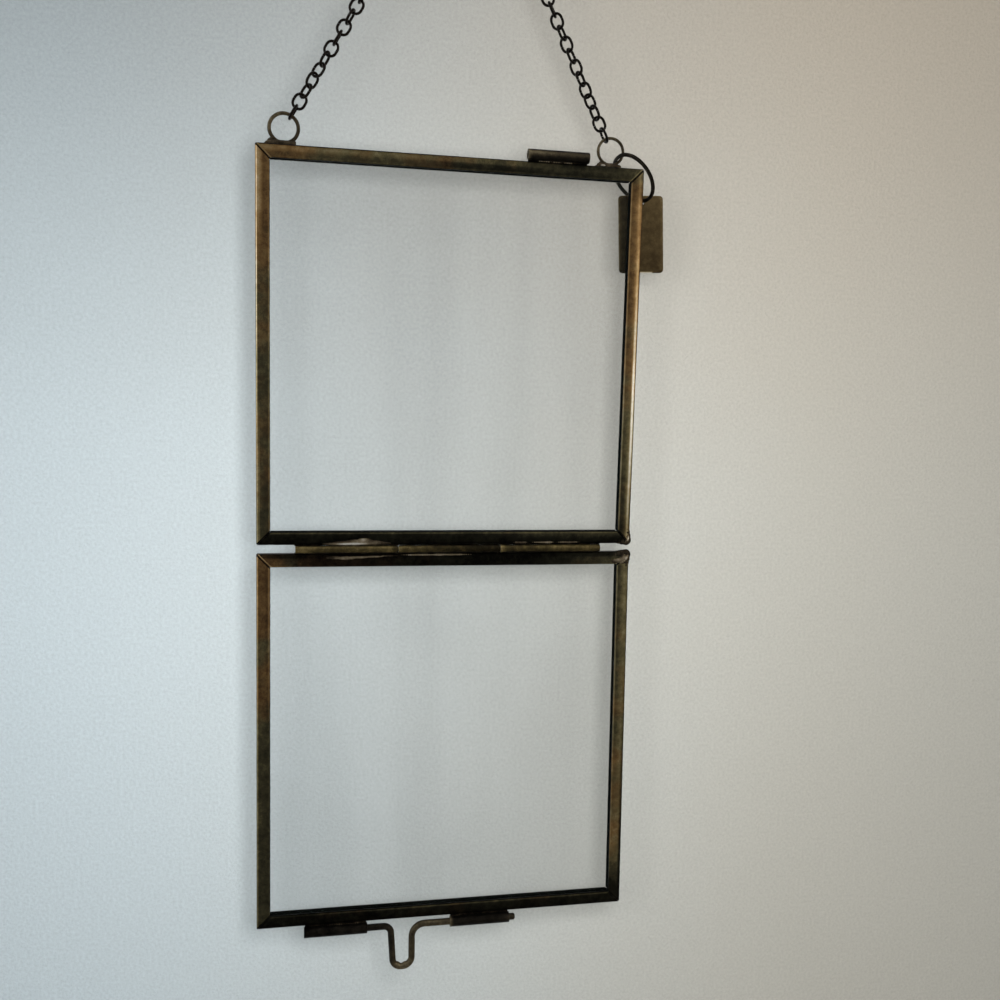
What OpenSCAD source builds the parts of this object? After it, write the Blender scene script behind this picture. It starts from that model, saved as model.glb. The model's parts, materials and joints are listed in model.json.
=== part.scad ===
// Hinged double-glass photo frame, unfolded and hanging on its chain.
// Two square glazed panels share a three-knuckle hinge along their common edge.
// The lower panel folds up in front of the upper one, and a sliding wire pin
// then joins the tubes on their free edges and locks the pair shut.
// X points to the viewer's right, Z up, and the viewer stands on the -Y side.
// The origin is the middle of the chain's top link, where a nail carries it.

/* [Panels] */
// Width of each glazed panel
panel_w = 130; // [110:1:160]
// Height of each glazed panel
panel_h = 130; // [110:1:170]
// Width of the brass face round the glass
rail_face = 4.5; // [3.5:0.1:6.5]
// Thickness of the folded brass sheet
rail_wall = 0.55; // [0.4:0.05:0.8]
// Radius of the folded outer edges
rail_round = 0.8; // [0.6:0.1:1.2]
// Thickness of each glass pane
glass_t = 2; // [1.5:0.1:3]
// Clearance all round a pane inside its channel
glass_gap = 0.25; // [0.1:0.05:0.4]
// Width of the soldered seam in each mitre
mitre_seam = 0.1; // [0.06:0.01:0.2]
// Radius of the solder drops on the right corners beside the hinge
corner_drop_r = 1.8; // [1.6:0.1:2.2]
// How far those drops stand proud of the edges
corner_drop_proud = 0.65; // [0.6:0.05:0.8]

/* [Hinge] */
// Outer diameter of the hinge barrel
barrel_d = 2.6; // [2.3:0.1:3.2]
// Gap that solder or air fills between the barrel and each panel's edge
barrel_seat = 0.15; // [0.1:0.05:0.3]
// How far the panels' front faces lie behind the hinge axis
face_setback = 0.3; // [0.2:0.05:0.6]
// Length of the middle knuckle, which is centred on the panels
middle_knuckle_len = 35.2; // [25:0.1:42]
// Distance from the panels' left edge to the barrel
barrel_left_inset = 12.8; // [8:0.1:18]
// Distance from the barrel to the panels' right edge
barrel_right_inset = 11.3; // [8:0.1:18]
// End play between neighbouring knuckles
knuckle_play = 0.2; // [0.1:0.05:0.5]
// Diameter of the hinge pin
hinge_pin_d = 1.5; // [1.2:0.1:1.7]
// Radial clearance of the hinge pin in the knuckles
hinge_pin_clear = 0.05; // [0.02:0.01:0.09]
// How far the hinge pin ends lie inside the barrel
hinge_pin_recess = 0.3; // [0.1:0.1:1]
// Angle by which the lower panel leans toward the viewer as it hangs
fold_rest = 2.4; // [0:0.1:6]

/* [Latch] */
// Outer diameter of the three latch tubes
latch_tube_d = 3.7; // [3.4:0.1:4.4]
// Gap that solder fills between a latch tube and its rail
latch_seat = 0.15; // [0.1:0.05:0.3]
// Diameter of the latch wire
latch_wire_d = 2.3; // [2:0.1:2.5]
// Radial clearance of the latch wire in the tubes
latch_clear = 0.07; // [0.03:0.01:0.1]
// Length of the left latch tube
left_tube_len = 21.7; // [20:0.1:23]
// Length of the right latch tube
right_tube_len = 21.4; // [20:0.1:23]
// Length of the upper latch tube
upper_tube_len = 21.2; // [18:0.1:22]
// Gap between the right and the upper latch tube when the frame is shut
tube_end_gap = 0.5; // [0.2:0.1:1]
// Length of the latch wire inside the left tube
pin_tail_len = 13.7; // [12:0.1:15]
// How far the latch wire stands out of the right tube
pin_proud = 2.1; // [1:0.1:3]
// Bevel on the ends of the latch wire
pin_bevel = 0.35; // [0.1:0.05:0.5]
// Distance between the handle's legs, from wire middle to wire middle
handle_w = 7; // [6:0.1:9]
// Drop of the handle below the latch tubes
handle_drop = 15; // [13:0.1:18]
// Bend radius above the handle's left leg
left_bend_r = 3; // [2:0.1:4]
// Bend radius above the handle's right leg
right_bend_r = 4.6; // [3:0.1:5]

/* [Hanging rings] */
// Outer diameter of the left ring
left_ring_d = 10.4; // [9.6:0.1:11]
// Wire of the left ring
left_ring_wire = 1.2; // [1:0.1:1.4]
// Distance from the right ring's middle to the panel's right edge
right_ring_inset = 11.9; // [11.4:0.1:12.3]
// Outer diameter of the right ring
right_ring_d = 9.8; // [9.4:0.1:10.6]
// Wire of the right ring
right_ring_wire = 1; // [0.9:0.1:1.2]
// Height of the right ring above the rail, filled by its solder foot
right_ring_lift = 0.35; // [0:0.05:0.6]
// Height of the solder feet
foot_h = 1.5; // [1.2:0.1:2]
// Half length of the left solder foot
left_foot_reach = 5.4; // [4.5:0.1:6]
// Half length of the right solder foot
right_foot_reach = 4.8; // [4:0.1:5.4]
// Thickness of the solder feet across the rail
foot_t = 2.2; // [1.8:0.1:2.8]

/* [Chain] */
// Wire of the chain links
link_wire = 0.9; // [0.8:0.05:1]
// Outer length of a link
link_len = 5.8; // [5.4:0.1:6.6]
// Outer width of a link
link_wid = 4.7; // [4.4:0.1:5.2]
// Play where two links meet
link_play = 0.05; // [0.03:0.01:0.1]
// Links between the left ring and the top link
left_links = 28; // [24:1:34]
// Links between the right ring and the top link
right_links = 27; // [24:1:34]
// Turn that each left link adds to its quarter turn
left_twist = 10.5; // [0:0.5:12]
// Most that the left leg is wound up
left_twist_most = 80; // [0:5:90]
// Turn that each right link adds to its quarter turn
right_twist = 6.3; // [0:0.1:8]
// Most that the right leg is wound up
right_twist_most = 165; // [0:5:180]

/* [Tag] */
// Width of the tag plate
tag_w = 16.2; // [12:0.1:18]
// Height of the tag plate
tag_h = 26.4; // [20:0.1:32]
// Thickness of the tag plate
tag_t = 0.8; // [0.6:0.1:1]
// Corner radius of the tag plate
tag_corner = 1.3; // [0.8:0.1:2.5]
// Diameter of the hole in the tag plate
tag_hole_d = 2.6; // [2.4:0.1:3]
// Metal between the hole and the tag's top edge
tag_hole_edge = 0.8; // [0.6:0.1:2]
// Gap between the panel's back and the tag
tag_back_gap = 0.6; // [0.4:0.1:1]
// Angle by which the tag's foot hangs to the right
tag_lean = 3; // [0:0.5:5]
// Diameter of the tag ring, measured to the middle of its wire
tag_ring_d = 17.4; // [17:0.1:17.8]
// Wire of the tag ring
tag_ring_wire = 1.2; // [1:0.1:1.3]
// Tilt of the tag ring's axis from upright
tag_ring_tilt = 52.8; // [52:0.1:54]
// Turn of the tag ring's axis toward the wall
tag_ring_turn = 19.7; // [19:0.1:21]

/* [Hidden] */
$fn = 48;
// One overrun serves every cut
over = 1;
rail_depth = glass_t + 2 * (glass_gap + rail_wall);
panel_gap = barrel_d + 2 * barrel_seat;
edge_z = panel_gap / 2;
top_z = edge_z + panel_h;
mid_z = edge_z + panel_h / 2;
mid_y = face_setback + rail_depth / 2;
back_y = face_setback + rail_depth;
// The tubes' axis lies in the plane of the hinge axis, so that they line up when shut
latch_z = top_z + latch_seat + latch_tube_d / 2;
latch_bore_d = latch_wire_d + 2 * latch_clear;
// Places along the panel, as shares of its width to the left and right of its middle
left_ring_share = 0.431;
left_tube_share = 0.377;
upper_tube_share = 0.346;
left_ring_x = -panel_w * left_ring_share;
right_ring_x = panel_w / 2 - right_ring_inset;
left_tube_x = -panel_w * left_tube_share;
left_tube_end = left_tube_x + left_tube_len;
upper_tube_x = panel_w * upper_tube_share - upper_tube_len;
right_tube_x = upper_tube_x - tube_end_gap - right_tube_len;
// The handle takes this share of the free wire between the tubes on its left
handle_share = 0.392;
handle_left_x = left_tube_end + (right_tube_x - left_tube_end - handle_w) * handle_share;
pin_tail_x = left_tube_end - pin_tail_len;
pin_tip_x = right_tube_x + right_tube_len + pin_proud;
handle_right_x = handle_left_x + handle_w;
handle_r = handle_w / 2;
barrel_bore_d = hinge_pin_d + 2 * hinge_pin_clear;
// The outer knuckles fill the barrel on each side of the middle one
left_knuckle_x = barrel_left_inset - panel_w / 2;
left_knuckle_len = -middle_knuckle_len / 2 - knuckle_play - left_knuckle_x;
right_knuckle_x = middle_knuckle_len / 2 + knuckle_play;
right_knuckle_len = panel_w / 2 - barrel_right_inset - right_knuckle_x;
// Solder along a tube is a round bead, trimmed by the tube and the rail
bead_r = rail_round * 0.85;
bead_in = face_setback + rail_round * 0.9;
bead_lift = rail_round / 3;
hinge_bead_r = rail_round * 0.7;
hinge_bead_in = face_setback + rail_round * 0.65;
hinge_bead_drop = barrel_seat * 0.6;
// Each bead's left end and length, as shares of the tube that it holds
left_hinge_bead_shares = [0.18, 0.72];
middle_hinge_bead_shares = [0.16, 0.6];
right_hinge_bead_shares = [0.12, 0.74];
upper_latch_bead_shares = [0.12, 0.76];
left_latch_bead_shares = [0.06, 0.88];
right_latch_bead_shares = [0.08, 0.84];
// Rings, measured to the middle of their wires
left_ring_r = (left_ring_d - left_ring_wire) / 2;
right_ring_r = (right_ring_d - right_ring_wire) / 2;
left_ring_z = top_z + left_ring_d / 2;
right_ring_z = top_z + right_ring_lift + right_ring_d / 2;
ring_seat = 0.02;
// A link's middle line is two half circles joined by two straights
link_bow = (link_wid - link_wire) / 2;
link_bow_x = (link_len - link_wire) / 2 - link_bow;
link_reach = link_bow + link_bow_x;
link_pitch = 2 * link_reach - link_wire - link_play;
// Distance from a hanging ring's middle to the bow of the top link that its leg pulls on
function leg_span(ring_r, ring_wire, links) =
    ring_r - (ring_wire + link_wire) / 2 - link_play + links * link_pitch + link_bow;
left_span = leg_span(left_ring_r, left_ring_wire, left_links);
right_span = leg_span(right_ring_r, right_ring_wire, right_links);
// The top link hangs where both spans meet
rings_dx = right_ring_x - left_ring_x - 2 * link_bow_x;
rings_dz = right_ring_z - left_ring_z;
rings_apart = sqrt(rings_dx * rings_dx + rings_dz * rings_dz);
span_along = (left_span * left_span - right_span * right_span + rings_apart * rings_apart)
    / (2 * rings_apart);
span_rise = sqrt(left_span * left_span - span_along * span_along);
hook_x = left_ring_x + link_bow_x + (span_along * rings_dx - span_rise * rings_dz) / rings_apart;
hook_z = left_ring_z + (span_along * rings_dz + span_rise * rings_dx) / rings_apart;
left_leg_angle = atan2(hook_z - left_ring_z, hook_x - link_bow_x - left_ring_x);
right_leg_angle = atan2(hook_z - right_ring_z, hook_x + link_bow_x - right_ring_x);
// The tag ring is threaded through the right hanging ring and round the panel's corner.
// Its middle lies below and right of that ring's middle, as shares of its own radius
tag_ring_r = tag_ring_d / 2;
tag_ring_place_shares = [0.943, -0.092, -0.966];
tag_ring_at = [right_ring_x, mid_y, right_ring_z] + tag_ring_r * tag_ring_place_shares;
tag_y = back_y + tag_back_gap + tag_t / 2;
// Where the ring crosses the tag's plane near its lowest point
swing_a = tag_ring_r * cos(tag_ring_tilt) * sin(tag_ring_turn);
swing_b = tag_ring_r * cos(tag_ring_turn);
cross_angle = atan2(swing_b, swing_a)
    - acos((tag_y - tag_ring_at[1]) / sqrt(swing_a * swing_a + swing_b * swing_b));
tag_pivot = tag_ring_at + tag_ring_r * [
    cos(cross_angle) * cos(tag_ring_tilt) * cos(tag_ring_turn) - sin(cross_angle) * sin(tag_ring_turn),
    cos(cross_angle) * cos(tag_ring_tilt) * sin(tag_ring_turn) + sin(cross_angle) * cos(tag_ring_turn),
    -cos(cross_angle) * sin(tag_ring_tilt)];
// The ring's wire rests just under the top of the tag's hole
tag_hole_drop = (tag_hole_d - tag_ring_wire) / 4;

brass = "#6b5a36";
dark_brass = "#3c3122";
solder = "#8f8a78";
pane = "#c9d6d0";
chain_metal = "#2a2521";

// The panels are drawn about the hinge axis and then hung below the origin
module hang() {
    translate([-hook_x, -mid_y, -hook_z]) children();
}

// The lower panel is drawn straight below the axis and then leans forward
module lean() {
    hang() rotate([-fold_rest, 0, 0]) children();
}

// Outline of a rail's section: depth runs along x, and the outer edge is at y = 0
module rail_outline() {
    translate([0, -rail_face]) square([rail_depth, rail_face - rail_round]);
    translate([rail_round, -rail_face]) square([rail_depth - 2 * rail_round, rail_face]);
    for (side = [rail_round, rail_depth - rail_round])
        translate([side, -rail_round]) circle(r = rail_round);
}

// The same section with the channel that holds the glass
module rail_section() {
    difference() {
        rail_outline();
        translate([rail_wall, -rail_face - over])
            square([rail_depth - 2 * rail_wall, rail_face + over - rail_wall]);
    }
}

// Sweeps a section along X, from start
module along_x(start, len) {
    translate([start, 0, 0]) rotate([90, 0, 90]) linear_extrude(height = len) children();
}

// One mitred rail, its outer edge at z = 0 and its front face at the setback
module rail(len) {
    reach = len / 2 - mitre_seam / sqrt(2);
    color(brass) intersection() {
        translate([0, face_setback, 0]) along_x(-len / 2, len) rail_section();
        translate([0, back_y + over, 0]) rotate([90, 0, 0])
            linear_extrude(height = back_y + 2 * over)
                polygon([[-reach - over, over], [reach + over, over],
                    [reach - rail_face - over, -rail_face - over],
                    [-reach + rail_face + over, -rail_face - over]]);
    }
}

// Puts a side of a panel in place: 0 top, 90 right, 180 bottom, -90 left
module side(turn, reach) {
    rotate([0, turn, 0]) translate([0, 0, reach]) children();
}

// The solder in one mitre, with the section of the rails that it joins
module mitre_solder(len) {
    color(solder) intersection() {
        translate([0, face_setback, 0]) along_x(len / 2 - 2 * rail_face, 2 * rail_face)
            rail_section();
        translate([len / 2, 0, 0]) rotate([0, -45, 0])
            translate([-2 * rail_face, -over, -mitre_seam / 2])
                cube([3 * rail_face, back_y + 2 * over, mitre_seam]);
    }
}

// Four mitres of a panel that is drawn about its own middle
module corner_solder() {
    side(0, panel_h / 2) mitre_solder(panel_w);
    side(90, panel_w / 2) mitre_solder(panel_h);
    side(180, panel_h / 2) mitre_solder(panel_w);
    side(-90, panel_w / 2) mitre_solder(panel_h);
}

// A drop of solder round the outside of the right corner beside the hinge, up from the axis
module corner_drop() {
    sink = corner_drop_r - corner_drop_proud;
    reach = 2 * corner_drop_r;
    color(solder) translate([panel_w / 2, face_setback, edge_z]) intersection() {
        translate([-sink, corner_drop_r * 0.75, sink]) sphere(r = corner_drop_r);
        translate([0, reach, 0]) rotate([90, 0, 0]) linear_extrude(height = reach)
            polygon([[0, 0], [0, reach], [reach, reach], [reach, -reach],
                [-reach, -reach], [-reach, 0]]);
    }
}

module glass() {
    w = panel_w - 2 * (rail_wall + glass_gap);
    h = panel_h - 2 * (rail_wall + glass_gap);
    color(pane, 0.4) translate([0, mid_y, 0]) cube([w, glass_t, h], center = true);
}

module upper() {
    hang() translate([0, 0, mid_z]) children();
}

module lower() {
    lean() translate([0, 0, -mid_z]) children();
}

module upper_top_rail() { upper() side(0, panel_h / 2) rail(panel_w); }
module upper_bottom_rail() { upper() side(180, panel_h / 2) rail(panel_w); }
module upper_left_stile() { upper() side(-90, panel_w / 2) rail(panel_h); }
module upper_right_stile() { upper() side(90, panel_w / 2) rail(panel_h); }
module upper_glass() { upper() glass(); }
module upper_corner_solder() {
    upper() corner_solder();
    hang() corner_drop();
}

module lower_top_rail() { lower() side(0, panel_h / 2) rail(panel_w); }
module lower_bottom_rail() { lower() side(180, panel_h / 2) rail(panel_w); }
module lower_left_stile() { lower() side(-90, panel_w / 2) rail(panel_h); }
module lower_right_stile() { lower() side(90, panel_w / 2) rail(panel_h); }
module lower_glass() { lower() glass(); }
module lower_corner_solder() {
    lower() corner_solder();
    lean() mirror([0, 0, 1]) corner_drop();
}

// A round tube along X
module tube(start, len, od, bore) {
    translate([start, 0, 0]) rotate([0, 90, 0]) difference() {
        cylinder(h = len, d = od);
        translate([0, 0, -over]) cylinder(h = len + 2 * over, d = bore);
    }
}

module knuckle(start, len) {
    color(dark_brass) tube(start, len, barrel_d, barrel_bore_d);
}

module hinge_knuckle_left() { hang() knuckle(left_knuckle_x, left_knuckle_len); }
module hinge_knuckle_middle() { lean() knuckle(-middle_knuckle_len / 2, middle_knuckle_len); }
module hinge_knuckle_right() { hang() knuckle(right_knuckle_x, right_knuckle_len); }

module hinge_pin() {
    start = left_knuckle_x + hinge_pin_recess;
    end = right_knuckle_x + right_knuckle_len - hinge_pin_recess;
    hang() color(dark_brass) translate([start, 0, 0]) rotate([0, 90, 0])
        cylinder(h = end - start, d = hinge_pin_d);
}

// Solder between the barrel and the panel above it
module hinge_bead(start, len, shares) {
    color(solder) along_x(start + len * shares[0], len * shares[1]) difference() {
        translate([hinge_bead_in, edge_z - hinge_bead_drop]) circle(r = hinge_bead_r);
        circle(d = barrel_d);
        translate([face_setback, edge_z]) mirror([0, 1]) rail_outline();
    }
}

module upper_hinge_solder() {
    hang() {
        hinge_bead(left_knuckle_x, left_knuckle_len, left_hinge_bead_shares);
        hinge_bead(right_knuckle_x, right_knuckle_len, right_hinge_bead_shares);
    }
}

module lower_hinge_solder() {
    lean() mirror([0, 0, 1])
        hinge_bead(-middle_knuckle_len / 2, middle_knuckle_len, middle_hinge_bead_shares);
}

module latch_tube(start, len) {
    color(dark_brass) translate([0, 0, latch_z]) tube(start, len, latch_tube_d, latch_bore_d);
}

// Solder between a latch tube and the rail below it
module latch_bead(start, len, shares) {
    color(solder) along_x(start + len * shares[0], len * shares[1]) difference() {
        translate([bead_in, top_z + bead_lift]) circle(r = bead_r);
        translate([0, latch_z]) circle(d = latch_tube_d);
        translate([face_setback, top_z]) rail_outline();
    }
}

module upper_latch_tube() { hang() latch_tube(upper_tube_x, upper_tube_len); }
module upper_latch_solder() {
    hang() latch_bead(upper_tube_x, upper_tube_len, upper_latch_bead_shares);
}
module lower_latch_tube_left() {
    lean() mirror([0, 0, 1]) latch_tube(left_tube_x, left_tube_len);
}
module lower_latch_tube_right() {
    lean() mirror([0, 0, 1]) latch_tube(right_tube_x, right_tube_len);
}
module lower_latch_solder() {
    lean() mirror([0, 0, 1]) {
        latch_bead(left_tube_x, left_tube_len, left_latch_bead_shares);
        latch_bead(right_tube_x, right_tube_len, right_latch_bead_shares);
    }
}

// A straight piece of wire along X, bevelled at its far end
module wire_run(len, d) {
    rotate([0, 90, 0]) {
        cylinder(h = len - pin_bevel, d = d);
        translate([0, 0, len - pin_bevel])
            cylinder(h = pin_bevel, d1 = d, d2 = d - 2 * pin_bevel);
    }
}

// An arc of wire in the XZ plane, from angle a through span degrees
module wire_arc(r, d, a, span) {
    rotate([90, 0, 0]) rotate([0, 0, a]) rotate_extrude(angle = span)
        translate([r, 0]) circle(d = d);
}

module wire_leg(x, z_low, z_high) {
    translate([x, 0, z_low]) cylinder(h = z_high - z_low, d = latch_wire_d);
}

// One wire: tail in the left tube, thumb loop, and locking end in the right tube
module latch_pin() {
    left_shoulder = handle_left_x - left_bend_r;
    right_shoulder = handle_right_x + right_bend_r;
    loop_z = -handle_drop + handle_r;
    lean() translate([0, 0, -latch_z]) color(dark_brass) {
        translate([left_shoulder, 0, 0]) mirror([1, 0, 0])
            wire_run(left_shoulder - pin_tail_x, latch_wire_d);
        translate([left_shoulder, 0, -left_bend_r]) wire_arc(left_bend_r, latch_wire_d, 0, 90);
        wire_leg(handle_left_x, loop_z, -left_bend_r);
        translate([handle_left_x + handle_r, 0, loop_z]) wire_arc(handle_r, latch_wire_d, 180, 180);
        wire_leg(handle_right_x, loop_z, -right_bend_r);
        translate([right_shoulder, 0, -right_bend_r])
            wire_arc(right_bend_r, latch_wire_d, 90, 90);
        translate([right_shoulder, 0, 0]) wire_run(pin_tip_x - right_shoulder, latch_wire_d);
    }
}

module ring(r, wire) {
    rotate([90, 0, 0]) rotate_extrude() translate([r, 0]) circle(d = wire);
}

module left_ring(spare) {
    translate([left_ring_x, mid_y, left_ring_z]) ring(left_ring_r, left_ring_wire + 2 * spare);
}

module right_ring(spare) {
    translate([right_ring_x, mid_y, right_ring_z]) ring(right_ring_r, right_ring_wire + 2 * spare);
}

module left_hanging_ring() { hang() color(dark_brass) left_ring(0); }
module right_hanging_ring() { hang() color(dark_brass) right_ring(0); }

// A low mound of solder on the top rail
module foot(x, reach) {
    r = (reach * reach + foot_h * foot_h) / (2 * foot_h);
    translate([x, mid_y + foot_t / 2, top_z]) rotate([90, 0, 0])
        linear_extrude(height = foot_t) intersection() {
            translate([0, foot_h - r]) circle(r = r, $fn = 6 * $fn);
            translate([-reach, 0]) square([2 * reach, foot_h]);
        }
}

module left_ring_solder() {
    hang() color(solder) difference() {
        foot(left_ring_x, left_foot_reach);
        left_ring(ring_seat);
    }
}

module right_ring_solder() {
    hang() color(solder) difference() {
        foot(right_ring_x, right_foot_reach);
        right_ring(ring_seat);
    }
}

module tag_ring() {
    hang() color(dark_brass) translate(tag_ring_at) rotate([0, tag_ring_tilt, tag_ring_turn])
        rotate_extrude() translate([tag_ring_r, 0]) circle(d = tag_ring_wire);
}

// Rounded outline of the tag, with its hole's middle at the origin
module tag_outline() {
    top = tag_hole_d / 2 + tag_hole_edge;
    difference() {
        union() {
            translate([-tag_w / 2 + tag_corner, top - tag_h])
                square([tag_w - 2 * tag_corner, tag_h]);
            translate([-tag_w / 2, top - tag_h + tag_corner])
                square([tag_w, tag_h - 2 * tag_corner]);
            for (x = [-1, 1], y = [top - tag_corner, top - tag_h + tag_corner])
                translate([x * (tag_w / 2 - tag_corner), y]) circle(r = tag_corner);
        }
        circle(d = tag_hole_d);
    }
}

module tag_plate() {
    hang() color(brass) translate(tag_pivot) rotate([0, -tag_lean, 0])
        translate([0, tag_t / 2, -tag_hole_drop]) rotate([90, 0, 0])
            linear_extrude(height = tag_t) tag_outline();
}

// One oval link, its length along X and its face toward the viewer
module link() {
    for (end = [0, 180]) rotate([0, end, 0])
        translate([link_bow_x, 0, 0]) wire_arc(link_bow, link_wire, -90, 180);
    for (z = [-link_bow, link_bow]) translate([0, 0, z]) rotate([0, 90, 0])
        cylinder(h = 2 * link_bow_x, d = link_wire, center = true);
}

// A leg of links from a hanging ring, each a quarter turn and a little more from the last
module chain_leg(ring_x, ring_z, ring_r, ring_wire, angle, links, twist, most) {
    first = ring_r - (ring_wire + link_wire) / 2 - link_play + link_reach;
    color(chain_metal) translate([ring_x, mid_y, ring_z]) rotate([0, -angle, 0])
        for (k = [1 : links])
            translate([first + (k - 1) * link_pitch, 0, 0])
                rotate([90 * k + min(twist * (k - 1), most), 0, 0]) link();
}

module chain_left() {
    hang() chain_leg(left_ring_x, left_ring_z, left_ring_r, left_ring_wire, left_leg_angle,
        left_links, left_twist, left_twist_most);
}

module chain_right() {
    hang() chain_leg(right_ring_x, right_ring_z, right_ring_r, right_ring_wire,
        right_leg_angle, right_links, right_twist, right_twist_most);
}

module chain_top_link() { color(chain_metal) link(); }

upper_top_rail();
upper_bottom_rail();
upper_left_stile();
upper_right_stile();
upper_glass();
upper_corner_solder();
lower_top_rail();
lower_bottom_rail();
lower_left_stile();
lower_right_stile();
lower_glass();
lower_corner_solder();
hinge_knuckle_left();
hinge_knuckle_middle();
hinge_knuckle_right();
hinge_pin();
upper_hinge_solder();
lower_hinge_solder();
upper_latch_tube();
lower_latch_tube_left();
lower_latch_tube_right();
upper_latch_solder();
lower_latch_solder();
latch_pin();
left_hanging_ring();
right_hanging_ring();
left_ring_solder();
right_ring_solder();
tag_ring();
tag_plate();
chain_left();
chain_right();
chain_top_link();
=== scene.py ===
# Hinged double-glass photo frame, open and hanging from its chain.
# Shapes are drawn in millimetres in a panel's own frame: X to the right along
# the hinge, Y toward the wall, Z up from the hinge axis.
import json
import math
import bmesh
import bpy
from mathutils import Matrix, Vector, noise

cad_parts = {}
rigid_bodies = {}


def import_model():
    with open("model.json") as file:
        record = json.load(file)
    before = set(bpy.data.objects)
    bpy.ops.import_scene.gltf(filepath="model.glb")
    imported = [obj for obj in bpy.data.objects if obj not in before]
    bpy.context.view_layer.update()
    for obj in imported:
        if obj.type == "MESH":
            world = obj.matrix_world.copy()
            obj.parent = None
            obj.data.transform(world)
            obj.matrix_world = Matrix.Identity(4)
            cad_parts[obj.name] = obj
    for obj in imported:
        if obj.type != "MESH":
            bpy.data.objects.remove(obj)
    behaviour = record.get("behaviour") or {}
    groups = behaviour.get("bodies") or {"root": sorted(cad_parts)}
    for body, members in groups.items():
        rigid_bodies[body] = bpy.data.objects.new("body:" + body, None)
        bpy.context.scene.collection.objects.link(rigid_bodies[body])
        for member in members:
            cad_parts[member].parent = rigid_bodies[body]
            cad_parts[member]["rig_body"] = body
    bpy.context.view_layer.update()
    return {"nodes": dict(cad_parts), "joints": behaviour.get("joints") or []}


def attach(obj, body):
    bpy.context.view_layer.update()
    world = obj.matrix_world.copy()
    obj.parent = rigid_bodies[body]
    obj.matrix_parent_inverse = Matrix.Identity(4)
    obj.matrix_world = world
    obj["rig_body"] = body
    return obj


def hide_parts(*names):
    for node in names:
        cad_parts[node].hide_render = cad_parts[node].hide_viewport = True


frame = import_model()

MM = 0.001
NOISE_SEED = 7

# Panels
PANEL = 130.0
HALF = PANEL / 2
RAIL_FACE = 4.5
RAIL_DEPTH = 3.6
RAIL_WALL = 0.55
RAIL_ROUND = 0.8
LIP_ROUND = 0.16
SETBACK = 0.3
EDGE_Z = 1.45
MID_Z = EDGE_Z + HALF
TOP_Z = EDGE_Z + PANEL
MID_Y = SETBACK + RAIL_DEPTH / 2
GLASS_T = 2.0
GLASS_GAP = 0.25
GLASS_BEVEL = 0.25

# The channels' skin: a slight crown and waves, cut into slices that carry the tones
CROWN = 0.12
FRONT_STEP = 0.15
RAIL_SLICES = 40
WAVE_SCALE = 0.06
FACE_WAVE = 0.06
EDGE_WAVE = 0.05
SKIN = 0.4
SIDE_TONE = (0.18, 0.4)
BACK_TONE = (0.06, 0.36)

# The mitres, measured from their planes: cuts in the skin, the rubbed band or the grime, solder
MITRE_GAP = 0.26
MITRE_CUTS = (0.62, 0.5, 0.26)
RIM_BAND = (0.2, 0.52)
GRIME_FROM = 0.26
GRIME_WIDE = 0.24
SEAM_SUNK = 0.3

# Solder doesn't stand further out than this, in Y
FRONT_LIMIT = 0.08

# Hinge: the start and length of each barrel, and the black fills of (depth, height, radius), painted
# shade under a rail's edge
BARREL_D = 2.6
BARREL_BORE = 1.6
BARREL_RIM = 0.1
BARREL_SPREAD = 105
KNUCKLES = {"left": (-52.2, 34.4), "middle": (-17.6, 35.2), "right": (17.8, 35.9)}
BARREL_SHADE_FILL = (0.98, EDGE_Z, 0.42)
BARREL_GAP_SHADE = (1.5, EDGE_Z - 0.02, 0.46)
BARREL_FILL_INSET = 0.1

# Latch: tubes of (start, length), and the wire's ends and thumb loop
TUBE_D = 3.7
TUBE_BORE = 2.44
TUBE_RIM = 0.13
TUBE_SPREAD = 32
TUBE_SEAM = 85
LATCH_Z = 133.45
WIRE_D = 2.3
LEFT_TUBE = (-49.01, 21.7)
RIGHT_TUBE = (1.88, 21.4)
UPPER_TUBE = (23.78, 21.2)
PIN_TAIL = -41.01
PIN_TIP = 25.38
HANDLE_LEFT = -18.61
HANDLE_RIGHT = -11.61
HANDLE_DROP = 15.0
WIRE_BEVEL = 0.35
WIRE_BEND = 0.05
LOOP_RADII = (2.6, 2.9, 3.2, 4.4)
NICKS = ((-1.1, 0.34), (0.9, 0.3), (-0.1, -0.2))
NICK_HALF = 0.7
NICK_REACH = 2.5
# Solder along each latch tube under the rail's edge, black as painted shade
TUBE_SHADE_FILL = (0.95, TOP_Z + 0.3, 0.6)
TUBE_FILL_INSET = 0.9

# Rolled tubes: the angles, up from the front, of the band of painted highlight on them, and their open
# seams
LIT_SIDE = 24
TUBE_LIT_SIDE = 13
UNLIT_SHARE = 0.2
TUBE_SIDES = 64
TUBE_SLICES = 16
TUBE_WAVE = 0.035
OPEN_SEAM_DEPTH = 0.16
OPEN_SEAM_HALF = 7
FILL_BLUNT = 0.9

# Rings, to the middle of their wires
LEFT_RING = {"x": -56.03, "z": 136.65, "r": 4.6, "wire": 1.2}
RIGHT_RING = {"x": 53.1, "z": 136.7, "r": 4.4, "wire": 1.0}
TAG_RING_AT = Vector((61.304, 1.3, 128.296))
TAG_RING_R = 8.7
TAG_RING_HALF = 0.29
TAG_RING_WIDER = 2.0
TAG_RING_END = math.radians(128)
TAG_RING_STEPS = 150
TAG_RING_CROSSING = 0.03
TAG_RING_TONE = 0.2
TAG_RING_TILT = math.radians(52.8)
TAG_RING_TURN = math.radians(19.7)

# Chain
LINK_WIRE = 0.9
LINK_BOW = 1.9
LINK_STRAIGHT = 1.1
LINK_PITCH = 3.95
LINK_PLAY = 0.05
LINK_JOINT = 0.05
LINK_STEPS = 10
LINK_TONE = 0.3
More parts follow.
